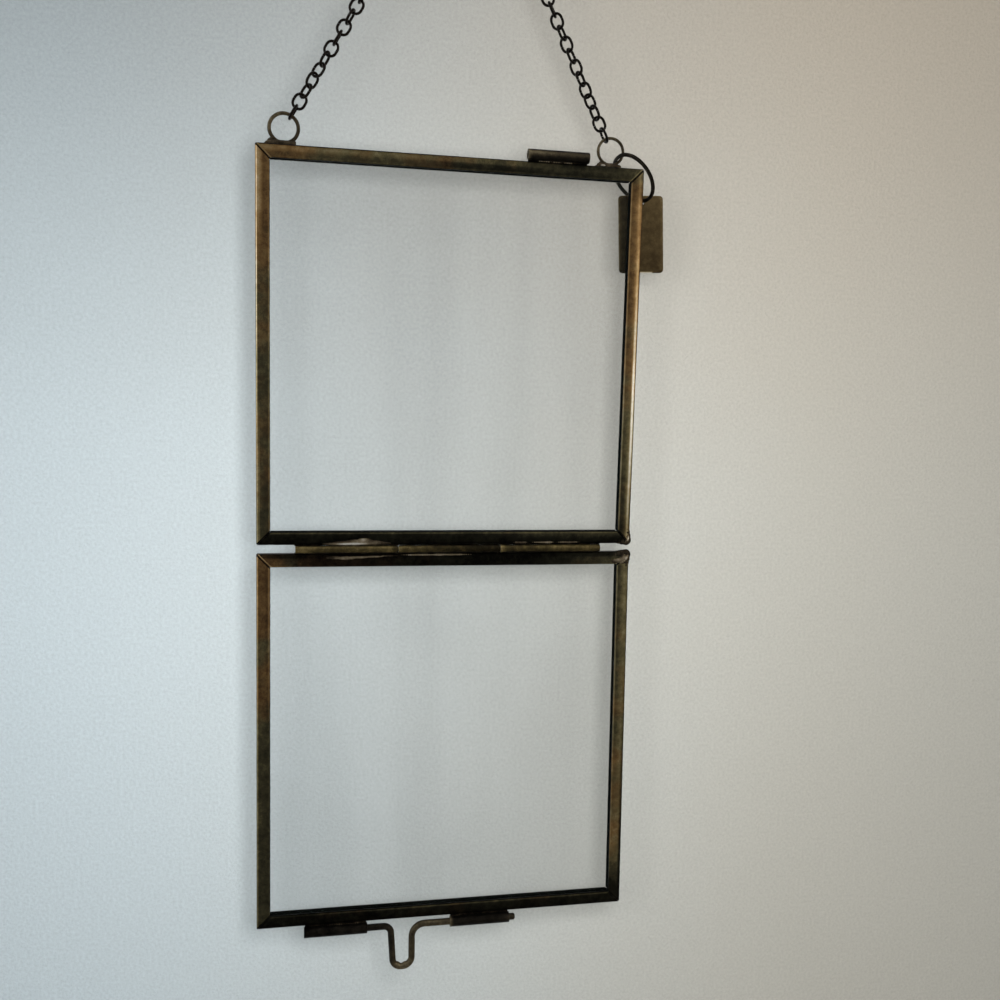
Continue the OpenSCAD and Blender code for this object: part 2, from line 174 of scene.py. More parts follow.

# Tag, and the stretch of its lower edge that carries a painted highlight
TAG_W = 16.2
TAG_H = 26.4
TAG_T = 0.8
TAG_CORNER = 1.3
TAG_BEVEL = 0.16
TAG_HOLE_D = 2.6
TAG_HOLE_EDGE = 0.8
TAG_HOLE_DROP = 0.35
TAG_LEAN = math.radians(3)
TAG_TONE = 0.37
TAG_RIM_TONE = 0.25
TAG_RIM = 0.4
TAG_HIGHLIGHT_TONE = 0.8
TAG_HIGHLIGHT_HEIGHT = 0.7
TAG_HIGHLIGHT_FROM = 0.0
TAG_HIGHLIGHT_TO = 3.6

joints = {joint["name"]: joint for joint in frame["joints"]}
hinge = Vector(joints["panel_fold"]["pos_m"])
lean = math.pi - math.radians(joints["panel_fold"]["range_deg"][1])
UPPER = Matrix.Translation(hinge) @ Matrix.Scale(MM, 4)
LOWER = Matrix.Translation(hinge) @ Matrix.Rotation(-lean, 4, "X") @ Matrix.Scale(MM, 4)
FLIP = Matrix.Diagonal((1, 1, -1, 1))

# The view, found from the panels' eight corners
CAMERA = hinge + Vector((-0.0478, -0.33338, 0.05664))
CAMERA_TURN = (83.342, -1.455, -10.88)
SENSOR = 36
LENS = 35.5

# Backdrop, in metres, and its paint at left and right, high up and low: painted light and shade, darker
# high up on the left and warmer on the right
WALL_Y = 0.25
FLOOR_Z = -0.78
BACKDROP_REACH = 3.0
WALL_HIGH = ((0.255, 0.285, 0.295), (0.45, 0.395, 0.32))
WALL_LOW = ((0.52, 0.59, 0.62), (0.525, 0.51, 0.455))
WALL_SPLIT = -0.1
FLOOR_PAINT = ((0.55, 0.56, 0.55), (0.56, 0.54, 0.50))

# Lamps: place, width and height, watts and colour
AIM = (0, 0, -0.2)
WHITE = (1, 1, 1)
SOFTBOXES = {"left_softbox": ((-1.1, -0.45, 0.1), (0.7, 1.2), 5, (0.97, 0.99, 1)),
             "right_softbox": ((1.0, -0.95, 0.15), (0.6, 1.0), 4.2, (1, 0.97, 0.92)),
             "top_softbox": ((0.1, -0.5, 1.0), (1.0, 0.6), 2.2, WHITE),
             "back_softbox": ((0.2, 1.1, 0.5), (0.8, 0.8), 14, WHITE)}
# Two small lamps beside the camera cast the soft shadows on the wall
NEAR_LAMPS = {"near_lamp_right": ((0.009, 0, 0.005), (0.016, 0.022), 2.2),
              "near_lamp_left": ((-0.022, 0, 0.004), (0.026, 0.026), 0.8)}
ROOM_COLOUR = (0.80, 0.83, 0.86, 1)
ROOM_STRENGTH = 0.3


class Link:
    """A node's socket that joins in sums, so that a pattern reads as arithmetic."""

    def __init__(self, finish, socket):
        self.finish = finish
        self.socket = socket

    def math(self, operation, first, second):
        return self.finish.add("Math", {"operation": operation}, {0: first, 1: second})

    def __add__(self, other):
        return self.math("ADD", self, other)

    def __sub__(self, other):
        return self.math("SUBTRACT", self, other)

    def __rsub__(self, other):
        return self.math("SUBTRACT", other, self)

    def __mul__(self, other):
        return self.math("MULTIPLY", self, other)

    __radd__ = __add__
    __rmul__ = __mul__

    def step(self, low, high):
        """0 below low and 1 above high, with a smooth climb between."""
        return self.finish.add("MapRange", {"interpolation_type": "SMOOTHSTEP"},
                               {"Value": self, "From Min": low, "From Max": high})


class Finish:
    """A procedural material with one Principled surface."""

    def __init__(self, name):
        self.material = bpy.data.materials.new(name)
        self.material.use_nodes = True
        self.tree = self.material.node_tree
        self.surface = self.tree.nodes["Principled BSDF"]
        self.place = self.add("TexCoord", out="Object")

    def add(self, kind, settings=None, values=None, out=0):
        """Adds a node: its settings first, then the values or links of its sockets."""
        node = self.tree.nodes.new("ShaderNode" + kind)
        for key, value in (settings or {}).items():
            if key == "stops":
                elements = node.color_ramp.elements
                while len(elements) < len(value):
                    elements.new(0.5)
                for element, (position, colour) in zip(elements, value):
                    element.position = position
                    element.color = (*colour, 1)
            else:
                setattr(node, key, value)
        for key, value in (values or {}).items():
            self.plug(node.inputs[key], value)
        return Link(self, node.outputs[out])

    def plug(self, socket, value):
        if isinstance(value, Link):
            self.tree.links.new(value.socket, socket)
        elif socket.type == "RGBA":
            socket.default_value = (*value, 1)
        else:
            socket.default_value = value

    def noise(self, scale, detail=3.0, rough=0.55, stretch=(1, 1, 1)):
        """Noise in metres: scale is the number of cells to a metre."""
        place = self.add("Mapping", None, {"Vector": self.place, "Scale": stretch})
        return self.add("TexNoise", None, {"Vector": place, "Scale": scale, "Detail": detail,
                                           "Roughness": rough})

    def attribute(self, name):
        return self.add("Attribute", {"attribute_name": name}, out="Fac")

    def mix(self, share, first, second):
        return self.add("Mix", {"data_type": "RGBA"}, {0: share, 6: first, 7: second}, out=2)

    def bump(self, height, depth, strength=1.0):
        return self.add("Bump", None, {"Height": height, "Distance": depth, "Strength": strength})

    def front_only(self):
        """Leaves the back of a backdrop clear, so that it hides nothing from a view behind it."""
        back = self.add("NewGeometry", out="Backfacing")
        clear = self.add("BsdfTransparent")
        seen = self.add("MixShader", None, {0: back, 1: Link(self, self.surface.outputs[0]), 2: clear})
        self.plug(self.tree.nodes["Material Output"].inputs["Surface"], seen)

    def set(self, **values):
        for key, value in values.items():
            self.plug(self.surface.inputs[key.replace("_", " ")], value)
        return self.material


# Patina from bare black through olive or brown to metal that is rubbed bright; the brightest colours
# also make painted highlights
OLIVE_STOPS = [(0.0, (0.0016, 0.0015, 0.0009)), (0.18, (0.017, 0.016, 0.010)),
               (0.36, (0.062, 0.054, 0.029)), (0.52, (0.17, 0.14, 0.066)),
               (0.7, (0.37, 0.31, 0.17)), (0.86, (0.62, 0.55, 0.40)), (1.0, (0.90, 0.85, 0.72))]
BROWN_STOPS = [(0.0, (0.0018, 0.0012, 0.0008)), (0.18, (0.024, 0.015, 0.008)),
               (0.36, (0.105, 0.058, 0.024)), (0.52, (0.25, 0.145, 0.056)),
               (0.7, (0.46, 0.31, 0.145)), (0.86, (0.68, 0.55, 0.37)), (1.0, (0.92, 0.85, 0.71))]
HINGE_STOPS = [(0.0, (0.0015, 0.0012, 0.0007)), (0.2, (0.022, 0.017, 0.008)),
               (0.4, (0.085, 0.064, 0.026)), (0.6, (0.24, 0.18, 0.075)),
               (0.8, (0.48, 0.39, 0.21)), (1.0, (0.84, 0.78, 0.62))]
FITTING_STOPS = [(0.0, (0.0015, 0.0013, 0.001)), (0.2, (0.022, 0.018, 0.013)),
                 (0.4, (0.072, 0.056, 0.034)), (0.6, (0.21, 0.17, 0.10)),
                 (0.8, (0.46, 0.39, 0.27)), (1.0, (0.80, 0.74, 0.62))]
TAG_STOPS = [(0.0, (0.010, 0.006, 0.003)), (0.35, (0.062, 0.042, 0.019)),
             (0.6, (0.15, 0.105, 0.048)), (0.8, (0.34, 0.27, 0.15)), (1.0, (0.86, 0.80, 0.66))]
CHAIN_STOPS = [(0.0, (0.003, 0.0025, 0.002)), (0.4, (0.020, 0.016, 0.013)),
               (1.0, (0.16, 0.13, 0.10))]
SOLDER_STOPS = [(0.0, (0.0018, 0.0014, 0.001)), (0.3, (0.070, 0.053, 0.034)),
                (0.6, (0.28, 0.225, 0.145)), (0.85, (0.60, 0.54, 0.43)), (1.0, (0.92, 0.88, 0.80))]

# Cells to a metre of the patterns on metal, glass and paint
CLOUDS = 130
BLOTCHES = 520
GRAIN = 2600
BROWN_PATCHES = 85
REFLECTION_STREAKS = 42
REFLECTION_HAZE = 16
DUST = 2600
STIPPLE = 560


def aged_metal(name, stops, gloss=0.36, mottle=0.3, depth=0.00005, brown=None):
    """Old metal: the tone on each vertex, mottled, picks a colour between the stops.

    Where brown is given, patches of it show, more of them where the vertices say browned.
    """
    m = Finish(name)
    cloud = m.noise(CLOUDS, 5, 0.6)
    blotch = m.noise(BLOTCHES, 4, 0.6)
    grain = m.noise(GRAIN, 3, 0.7)
    tone = m.attribute("tone") + (cloud - 0.5) * mottle + (blotch - 0.5) * (mottle * 0.8)
    tone = tone + (grain - 0.5) * (mottle * 0.8)
    base = m.add("ValToRGB", {"stops": stops}, {0: tone})
    if brown:
        heated = (m.attribute("browned") + (m.noise(BROWN_PATCHES, 3) - 0.5) * 1.5).step(0.25, 0.75)
        base = m.mix(heated, base, m.add("ValToRGB", {"stops": brown}, {0: tone}))
    rough = gloss + 0.14 - tone * 0.2 + (grain - 0.5) * 0.2
    return m.set(Base_Color=base, Metallic=0.96, Roughness=rough,
                 Normal=m.bump(blotch + grain * 0.5, depth, 0.5))


def window_glass(name):
    """Clear pane: a mirror-like film, thin face on and stronger at a grazing view, with painted
    reflections.
    """
    m = Finish(name)
    painted_streak = m.noise(REFLECTION_STREAKS, 3, 0.5, (1, 1, 0.1))
    painted_haze = m.noise(REFLECTION_HAZE, 4, 0.5)
    dust = m.noise(DUST, 2, 0.7)
    sheen = m.add("Fresnel", None, {"IOR": 1.5})
    # Soft streaks and clouds in the film are painted reflections; the fine specks are dust
    film = 0.03 + painted_streak.step(0.4, 0.75) * 0.03 + painted_haze.step(0.45, 0.75) * 0.02
    film = film + (dust - 0.5).step(0.17, 0.3) * 0.04 + sheen
    thin = m.mix(painted_haze.step(0.35, 0.7), (0.04, 0.055, 0.05), (0.07, 0.08, 0.07))
    tint = m.mix(sheen.step(0.05, 0.4), thin, (0.88, 0.92, 0.90))
    return m.set(Base_Color=tint, Metallic=0.85, Roughness=0.06, Alpha=film)


def arc(middle, radius, start, end, steps):
    """Points on an arc in the plane of a section, angles in degrees."""
    turns = [math.radians(start + (end - start) * k / steps) for k in range(steps + 1)]
    return [(middle[0] + radius * math.cos(a), middle[1] + radius * math.sin(a)) for a in turns]


def add_object(name, data):
    obj = bpy.data.objects.new(name, data)
    bpy.context.scene.collection.objects.link(obj)
    return obj


def bm_mesh(bm, name, crease=38):
    """Closes a bmesh into a mesh that is smooth up to the crease angle."""
    bmesh.ops.remove_doubles(bm, verts=bm.verts, dist=0.0005)
    bmesh.ops.recalc_face_normals(bm, faces=bm.faces)
    for face in bm.faces:
        face.smooth = True
    for edge in bm.edges:
        edge.smooth = edge.is_manifold and edge.calc_face_angle() < math.radians(crease)
    mesh = bpy.data.meshes.new(name)
    bm.to_mesh(mesh)
    bm.free()
    return mesh


def set_values(bm, layer, value):
    """Writes a number on every vertex; value is a number or a function of the point."""
    key = bm.verts.layers.float.get(layer) or bm.verts.layers.float.new(layer)
    for vert in bm.verts:
        vert[key] = value(vert.co) if callable(value) else value


def piece(mesh, node, material, place=UPPER):
    """Puts a finished mesh in the row frame, on the body of the CAD node that it stands for."""
    mesh.transform(place)
    if place.determinant() < 0:
        mesh.flip_normals()
    obj = add_object(node + "_look", mesh)
    mesh.materials.append(material)
    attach(obj, frame["nodes"][node]["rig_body"])
    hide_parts(node)


def side(turn, reach):
    """Places a side of a panel: 0 top, 90 right, 180 bottom, -90 left."""
    return Matrix.Rotation(math.radians(turn), 4, "Y") @ Matrix.Translation((0, 0, reach))


def ramp(stops, share):
    """Reads a value between given stops of (share, value)."""
    for (a, first), (b, second) in zip(stops, stops[1:]):
        if share <= b:
            return first + (second - first) * max(0.0, share - a) / (b - a)
    return stops[-1][1]


def channel_section():
    """The folded channel's section as (depth, height), its outer edge at height 0."""
    deep = RAIL_DEPTH
    lip = LIP_ROUND - RAIL_FACE
    points = arc((LIP_ROUND, lip), LIP_ROUND, 270, 180, 4)
    count = round((-RAIL_ROUND - lip) / FRONT_STEP)
    for k in range(1, count):
        share = k / count
        points.append((-CROWN * math.sin(math.pi * share), lip + (-RAIL_ROUND - lip) * share))
    points += arc((RAIL_ROUND, -RAIL_ROUND), RAIL_ROUND, 180, 90, 10)
    points += arc((deep - RAIL_ROUND, -RAIL_ROUND), RAIL_ROUND, 90, 0, 6)
    points += arc((deep - LIP_ROUND, lip), LIP_ROUND, 0, -90, 3)
    points += [(deep - RAIL_WALL, -RAIL_FACE), (deep - RAIL_WALL, -RAIL_WALL),
               (RAIL_WALL, -RAIL_WALL), (RAIL_WALL, -RAIL_FACE)]
    return points


def slice_at(bm, place, normal, clear=False):
    """Cuts the bmesh by a plane, and returns the cut's edges."""
    cut = bmesh.ops.bisect_plane(bm, geom=bm.verts[:] + bm.edges[:] + bm.faces[:], dist=0.0001,
                                 plane_co=place, plane_no=normal, clear_outer=clear)
    return [part for part in cut["geom_cut"] if isinstance(part, bmesh.types.BMEdge)]


def rail_mesh(name, faces, along, rim, browned, seed):
    """One mitred rail, with the slight waves of sheet that is folded by hand.

    faces gives, at shares of the length, the tone from the outer edge to the lip, with painted
    highlights and painted shade in it, and along scales it. rim is the tone of the cut edges at the
    mitres; without one they are grimy.
    browned says how brown the patina is from end to end.
    """
    bm = bmesh.new()
    outline = [bm.verts.new((-HALF, SETBACK + depth, height)) for depth, height in channel_section()]
    made = bmesh.ops.extrude_face_region(bm, geom=[bm.faces.new(outline)])
    far = [v for v in made["geom"] if isinstance(v, bmesh.types.BMVert)]
    bmesh.ops.translate(bm, verts=far, vec=(PANEL, 0, 0))
    for hand in (-1, 1):
        for inset in MITRE_CUTS:
            slice_at(bm, (hand * (HALF - inset * math.sqrt(2)), 0, 0), (hand, 0, -1))
        end = (hand * (HALF - MITRE_GAP / math.sqrt(2)), 0, 0)
        bmesh.ops.edgeloop_fill(bm, edges=slice_at(bm, end, (hand, 0, -1), True))
    for k in range(1, RAIL_SLICES):
        slice_at(bm, (PANEL * (k / RAIL_SLICES - 0.5), 0, 0), (1, 0, 0))

    def tone(point):
        deep = point.y - SETBACK
        share = point.x / PANEL + 0.5
        scale = ramp(along, share)
        if deep < SKIN:
            surface_tone = ramp([(at, ramp(face, -point.z)) for at, face in faces], share) * scale
            from_mitre = (HALF - abs(point.x) + point.z) / math.sqrt(2)
            if rim:
                return max(surface_tone, rim if RIM_BAND[0] < from_mitre < RIM_BAND[1] else 0.0)
            return surface_tone * min(1.0, max(0.0, (from_mitre - GRIME_FROM) / GRIME_WIDE))
        if point.z > -SKIN:
            return SIDE_TONE[0] + SIDE_TONE[1] * ramp(faces[0][1], 0) * scale
        if deep > RAIL_DEPTH - SKIN / 2:
            return BACK_TONE[0] + BACK_TONE[1] * scale
        # Inside the channel, behind the glass: black, as painted shade
        return 0.0

    set_values(bm, "tone", tone)
    set_values(bm, "browned", lambda point: ramp(browned, point.x / PANEL + 0.5))
    for vert in bm.verts:
        wave = noise.noise_vector(vert.co * WAVE_SCALE + Vector((seed, 0, 0)))
        vert.co.y += wave.y * FACE_WAVE
        vert.co.z -= abs(wave.z) * EDGE_WAVE
    return bm_mesh(bm, name)


def add_seams(bm):
    """Solder in a panel's four mitres: thin slices of the channel, sunk below its skin."""
    middle = Vector((RAIL_DEPTH / 2, -RAIL_FACE / 2))
    for turn in (0, 90, 180, -90):
        outline = []
        for point in channel_section():
            off = Vector(point) - middle
            off.x -= math.copysign(min(SEAM_SUNK, abs(off.x)), off.x)
            off.y -= math.copysign(min(SEAM_SUNK, abs(off.y)), off.y)
            depth, height = middle + off
            outline.append(bm.verts.new((HALF + height, SETBACK + depth, height)))
        slab = bmesh.ops.extrude_face_region(bm, geom=[bm.faces.new(outline)])
        fresh = [v for v in slab["geom"] if isinstance(v, bmesh.types.BMVert)]
        step = Vector((1, 0, -1)).normalized() * MITRE_GAP
        bmesh.ops.translate(bm, verts=fresh, vec=step)
        bmesh.ops.translate(bm, verts=outline + fresh, vec=-step / 2)
        bmesh.ops.transform(bm, verts=outline + fresh, matrix=side(turn, HALF))


def painted_highlights(dark, *highlight_spots):
    """A tone with painted highlights, swelling from dark at each spot of (x, z, half width, half
    height, gain).
    """
    return lambda p: dark + sum(gain * math.exp(-((p.x - x) / wide) ** 2 - ((p.z - z) / high) ** 2)
                                for x, z, wide, high, gain in highlight_spots)


def add_lump(bm, balls, tone, voxel=0.13, seed=0.0, rough=0.07, front=None):
    """Melts balls of (place, radius or radii) into one lump and adds it to the bmesh."""
    source = bmesh.new()
    for place, radius in balls:
        made = bmesh.ops.create_icosphere(source, subdivisions=3, radius=1.0)
        radii = radius if hasattr(radius, "__len__") else (radius,) * 3
        scale = Matrix.Diagonal((*radii, 1))
        bmesh.ops.transform(source, verts=made["verts"], matrix=Matrix.Translation(place) @ scale)
    raw = bpy.data.meshes.new("lump")
    source.to_mesh(raw)
    source.free()
    obj = bpy.data.objects.new("lump", raw)
    melt = obj.modifiers.new("melt", "REMESH")
    melt.mode = "VOXEL"
    melt.voxel_size = voxel
    ease = obj.modifiers.new("ease", "SMOOTH")
    ease.factor = 0.5
    ease.iterations = 3
    workbench.collection.objects.link(obj)
    with bpy.context.temp_override(scene=workbench, view_layer=workbench.view_layers[0]):
        graph = bpy.context.evaluated_depsgraph_get()
        melted = bpy.data.meshes.new_from_object(obj.evaluated_get(graph))
    first = len(bm.verts)
    bm.from_mesh(melted)
    bm.verts.ensure_lookup_table()
    key = bm.verts.layers.float.get("tone") or bm.verts.layers.float.new("tone")
    for vert in bm.verts[first:]:
        push = noise.noise(vert.co * 0.9 + Vector((seed, 0, 0)))
        push += 0.5 * noise.noise(vert.co * 2.1 + Vector((0, seed, 0)))
        vert.co += vert.normal * push * rough
        if front is not None:
            vert.co.y = max(vert.co.y, front)
        vert[key] = tone(vert.co) if callable(tone) else tone
    bpy.data.objects.remove(obj)
    bpy.data.meshes.remove(raw)
    bpy.data.meshes.remove(melted)


def bead(start, end, depth, height, radius, seed=0.0, step=0.8, blunt=0.35):
    """Balls for a run of solder along X, uneven and tapered at its ends to a blunt share."""
    length = end - start
    count = max(3, round(length / step))
    balls = []
    for k in range(count + 1):
        share = k / count
        taper = min(1.0, blunt + 4 * min(share, 1 - share))
        swell = 1 + 0.28 * noise.noise(Vector((share * length * 0.35, seed, 0)))
        drift = 0.2 * radius * noise.noise(Vector((share * length * 0.5, 0, seed)))
        size = radius * taper * swell
        balls.append(((start + length * share, depth + drift, height), (size * 1.3, size, size)))
    return balls


def tube_mesh(name, start, length, outer, bore, seam, tones, rim_tones, rim, spread, lit):
    """A rolled tube along X with rounded rims and an open seam at the angle given.

    Its tones fade, as painted shade, over spread degrees from a band of painted highlight at the angle
    lit.
    """
    bm = bmesh.new()
    wall = (outer - bore) / 2
    profile = arc((rim, outer / 2 - rim), rim, 180, 90, 3)
    profile += [(length * k / TUBE_SLICES, outer / 2) for k in range(1, TUBE_SLICES)]
    profile += arc((length - rim, outer / 2 - rim), rim, 90, 0, 3)
    profile += [(length, outer / 2 - wall), (0, outer / 2 - wall)]
    ring = [bm.verts.new((start + x, 0, radius)) for x, radius in profile]
    rims = [bm.edges.new((a, b)) for a, b in zip(ring, ring[1:] + ring[:1])]
    bmesh.ops.spin(bm, geom=ring + rims, cent=(0, 0, 0), axis=(1, 0, 0), angle=2 * math.pi,
                   steps=TUBE_SIDES, use_merge=True)
    for vert in bm.verts:
        away = math.hypot(vert.co.y, vert.co.z)
        turn = math.degrees(math.atan2(vert.co.z, -vert.co.y))
        off = abs((turn - seam + 180) % 360 - 180)
        if away > outer / 2 - wall / 2:
            wave = noise.noise(vert.co * 0.16 + Vector((start, 0, 0))) * TUBE_WAVE
            notch = -OPEN_SEAM_DEPTH * max(0.0, 1 - off / OPEN_SEAM_HALF)
            size = (away + min(0.0, wave) + notch) / away
            vert.co.y *= size
            vert.co.z *= size

    def tone(point):
        share = (point.x - start) / length
        # The rims' tones are painted highlights, mostly brighter on the left ends
        if share * length < rim or (1 - share) * length < rim:
            return rim_tones[0] if share < 0.5 else rim_tones[1]
        # A band of painted highlight at the angle lit, with painted shade away from it
        turn = math.degrees(math.atan2(point.z, -point.y))
        off = (turn - lit + 180) % 360 - 180
        painted_highlight = math.exp(-(off / spread) ** 2)
        return ramp(tones, share) * (UNLIT_SHARE + (1 - UNLIT_SHARE) * painted_highlight)

    set_values(bm, "tone", tone)
    return bm_mesh(bm, name)


def wire_bmesh(points, wire, cyclic=False, sides=6, sizes=None):
    """A round wire along points, as a bmesh. sizes are shares of its diameter at each point."""
    curve = bpy.data.curves.new("wire", "CURVE")
    curve.dimensions = "3D"
    curve.bevel_depth = wire / 2
    curve.bevel_resolution = sides
    curve.use_fill_caps = not cyclic
    spline = curve.splines.new("POLY")
    spline.points.add(len(points) - 1)
    for k, (point, place) in enumerate(zip(spline.points, points)):
        point.co = (*place, 1)
        point.radius = sizes[k] if sizes else 1.0
    spline.use_cyclic_u = cyclic
    obj = bpy.data.objects.new("wire", curve)
    mesh = bpy.data.meshes.new_from_object(obj)
    bm = bmesh.new()
    bm.from_mesh(mesh)
    bpy.data.objects.remove(obj)
    bpy.data.curves.remove(curve)
    bpy.data.meshes.remove(mesh)
    return bm


def fillet_path(corners, radii, steps=10):
    """A path in the XZ plane through corners, each turned with its own radius."""
    path = [Vector(corners[0])]
    for k in range(1, len(corners) - 1):
        here = Vector(corners[k])
        back = (Vector(corners[k - 1]) - here).normalized()
        ahead = (Vector(corners[k + 1]) - here).normalized()
        half = back.angle(ahead) / 2
        radius = radii[k - 1]
        middle = here + (back + ahead).normalized() * radius / math.sin(half)
        start = here + back * radius / math.tan(half)
        end = here + ahead * radius / math.tan(half)
        for step in range(steps + 1):
            arm = (start - middle).slerp(end - middle, step / steps)
            path.append(middle + arm * radius)
    path.append(Vector(corners[-1]))
    return path


def dense(path, step=0.8):
    """Adds points along the straights of a path."""
    full = [path[0]]
    for a, b in zip(path, path[1:]):
        count = max(1, round((b - a).length / step))
        full += [a.lerp(b, k / count) for k in range(1, count + 1)]
    return full


brass = aged_metal("aged_channel_brass", OLIVE_STOPS, brown=BROWN_STOPS)
barrel = aged_metal("worn_hinge_brass", HINGE_STOPS, 0.38, 0.45)
fitting = aged_metal("dark_fitting_brass", FITTING_STOPS, 0.38)
solder = aged_metal("dulled_solder", SOLDER_STOPS, 0.34, 0.45, 0.0001)
plate = aged_metal("bare_tag_brass", TAG_STOPS, 0.42, 0.3)
bronze = aged_metal("black_chain_bronze", CHAIN_STOPS, 0.34, 0.3)
glass = window_glass("pane_glass")

# Tones from a rail's outer edge, 0, to its inner lip, 4.5 mm in: patina with painted highlights and
# painted shade
TOP_LEFT = [(0, .1), (.35, .15), (.6, .5), (1.2, .57), (1.9, .51), (2.6, .41), (3.4, .38),
            (4.0, .4), (4.25, .42), (4.4, .3), (4.5, .02)]
TOP_MIDDLE = [(0, .1), (.35, .3), (.6, .43), (1.8, .42), (2.4, .24), (3.6, .17), (3.9, .22),
              (4.2, .3), (4.4, .2), (4.5, 0)]
TOP_DARK = [(0, .1), (.5, .18), (1.5, .22), (2.2, .26), (3.2, .2), (3.9, .17), (4.1, .27),
            (4.35, .25), (4.5, 0)]
TOP_RIGHT = [(0, .25), (.5, .4), (3.8, .42), (4.2, .46), (4.4, .3), (4.5, .05)]
LEFT_HIGH = [(0, .4), (.12, .5), (.3, .74), (1.0, .7), (1.5, .6), (1.9, .52), (2.5, .37),
             (3.4, .38), (4.1, .44), (4.4, .42), (4.5, .2)]
LEFT_MIDDLE = [(0, .42), (.12, .55), (.24, .88), (.42, .85), (.6, .5), (.9, .45), (3.0, .44),
               (4.0, .4), (4.2, .58), (4.4, .6), (4.5, .3)]
LEFT_LOW = [(0, .3), (.12, .5), (.3, .7), (.5, .6), (1.1, .55), (1.4, .4), (2.6, .35),
            (3.9, .32), (4.15, .5), (4.4, .52), (4.5, .3)]
RIGHT_HIGH = [(0, .4), (.5, .45), (.8, .49), (1.1, .55), (1.5, .62), (2.0, .52), (3.8, .5),
              (4.05, .54), (4.2, .72), (4.4, .7), (4.5, .4)]
RIGHT_WARM = [(0, .35), (.3, .4), (.6, .55), (.85, .82), (1.2, .82), (1.5, .66), (1.9, .58),
              (2.5, .46), (3.4, .42), (4.05, .44), (4.2, .68), (4.4, .64), (4.5, .4)]
RIGHT_LIT = [(0, .35), (.4, .5), (.7, .85), (.95, 1), (1.25, .98), (1.5, .7), (1.8, .48),
             (3.8, .43), (4.05, .46), (4.2, .72), (4.4, .7), (4.5, .4)]
RIGHT_LOW = [(0, .3), (.4, .35), (.8, .62), (1.1, .85), (1.4, .78), (1.7, .6), (2.1, .47),
             (2.8, .34), (3.6, .31), (4.0, .34), (4.2, .64), (4.4, .6), (4.5, .3)]
RIDGED = [(0, .02), (1.5, .08), (2.6, .1), (3.5, .14), (3.8, .3), (3.95, .44), (4.2, .38),
          (4.35, .04), (4.5, 0)]
RIDGED_GREY = [(0, .02), (1.0, .08), (2.0, .14), (3.0, .24), (3.7, .3), (3.95, .44), (4.2, .4),
               (4.35, .05), (4.5, 0)]
LOWER_TOP = [(0, .05), (.5, .12), (1.2, .14), (2.0, .3), (3.2, .34), (4.1, .36), (4.3, .5),
             (4.42, .3), (4.5, .05)]
LOWER_LEFT_HIGH = [(0, .4), (.12, .5), (.3, .68), (.5, .55), (.8, .42), (2.6, .42), (3.4, .36),
                   (3.8, .38), (4.0, .55), (4.2, .62), (4.4, .5), (4.5, .2)]
LOWER_LEFT_LOW = [(0, .5), (.2, .62), (.4, .6), (.6, .46), (.85, .35), (4.0, .31), (4.3, .42),
                  (4.5, .2)]
LOWER_RIGHT_HIGH = [(0, .25), (.4, .4), (.8, .48), (1.6, .52), (2.6, .46), (3.5, .38), (4.0, .4),
                    (4.2, .66), (4.4, .62), (4.5, .3)]
LOWER_RIGHT_LOW = [(0, .08), (.8, .14), (1.1, .35), (1.5, .5), (3.6, .5), (4.05, .47),
                   (4.2, .6), (4.4, .55), (4.5, .2)]

